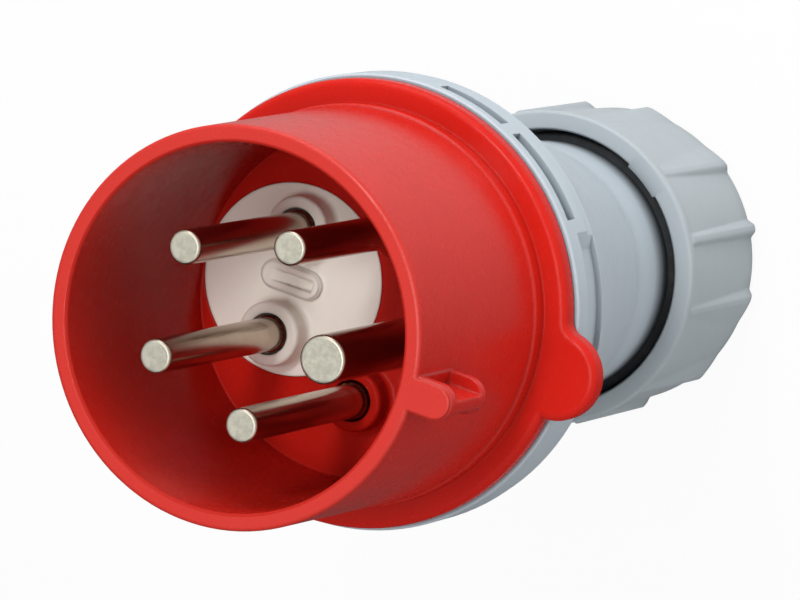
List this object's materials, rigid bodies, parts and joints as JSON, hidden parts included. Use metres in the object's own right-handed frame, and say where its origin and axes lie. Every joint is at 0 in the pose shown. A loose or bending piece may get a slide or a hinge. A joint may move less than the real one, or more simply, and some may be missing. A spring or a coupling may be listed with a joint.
{
  "type": "industrial pin and sleeve plug",
  "caption": "Industrial pin and sleeve plug with a round shroud, flange with thumb tab, a turning phase reversing insert, tapered housing and ribbed cable gland nut.",
  "frame": {"origin": "centre of the cable entry, on the gland nut's rear face, which the plug stands on", "axes": "+Z along the plug's axis, out of the sleeve towards the connector; +X towards the key on the sleeve, the thumb tab and the earth pin"},
  "size_m": [0.0721, 0.0668, 0.142],
  "materials": {
    "red_shell": "satin moulded",
    "grey_shell": "satin moulded",
    "grey_nut": "satin moulded",
    "white_insert": "satin moulded",
    "grey_insulator": "matt moulded",
    "pale_clamp": "matt moulded",
    "plated_contact": "nickel plated",
    "steel_screw": "zinc plated",
    "spring_steel": "plain",
    "black_rubber": "matt",
    "grommet_rubber": "matt"
  },
  "bodies": {
    "plug": {"front_sleeve": "red_shell", "flange_gasket": "black_rubber", "terminal_carrier": "grey_insulator", "earth_pin": "plated_contact", "neutral_pin": "plated_contact", "line3_pin": "plated_contact", "earth_terminal_screw": "steel_screw", "neutral_terminal_screw": "steel_screw", "line3_terminal_screw": "steel_screw", "carrier_screws": "steel_screw", "insert_spring": "spring_steel", "housing": "grey_shell", "neck_seal": "black_rubber", "clamp_cage": "pale_clamp", "grommet": "grommet_rubber"},
    "washer": {"insert_washer": "spring_steel"},
    "insert": {"phase_insert": "white_insert", "line1_pin": "plated_contact", "line2_pin": "plated_contact", "insert_plate": "white_insert", "insert_plate_screws": "steel_screw", "line1_terminal_screw": "steel_screw", "line2_terminal_screw": "steel_screw", "insert_clip": "spring_steel"},
    "pressure_ring": {"thrust_ring": "pale_clamp"},
    "nut": {"gland_nut": "grey_nut"}
  },
  "joints": [
    {"name": "insert_press", "type": "slide", "parent": "plug", "child": "washer", "axis": [0, 0, 1], "range_m": [-0.0025, 0], "stiffness_N_per_m": 1500, "springref_m": 0.004, "deforming": ["insert_spring"]},
    {"name": "insert_turn", "type": "hinge", "parent": "washer", "child": "insert", "pos_m": [-0.01114, 0, 0.0995], "axis": [0, 0, 1], "range_deg": [0, 180]},
    {"name": "nut_travel", "type": "slide", "parent": "plug", "child": "pressure_ring", "axis": [0, 0, 1], "range_m": [-0.0059, 0]},
    {"name": "nut_turn", "type": "hinge", "parent": "pressure_ring", "child": "nut", "pos_m": [0, 0, 0.015], "axis": [0, 0, 1], "range_deg": [0, 720]}
  ],
  "couplings": [
    {"joint": "nut_turn", "follows": "nut_travel", "rad_per_m": -2094.4}
  ]
}
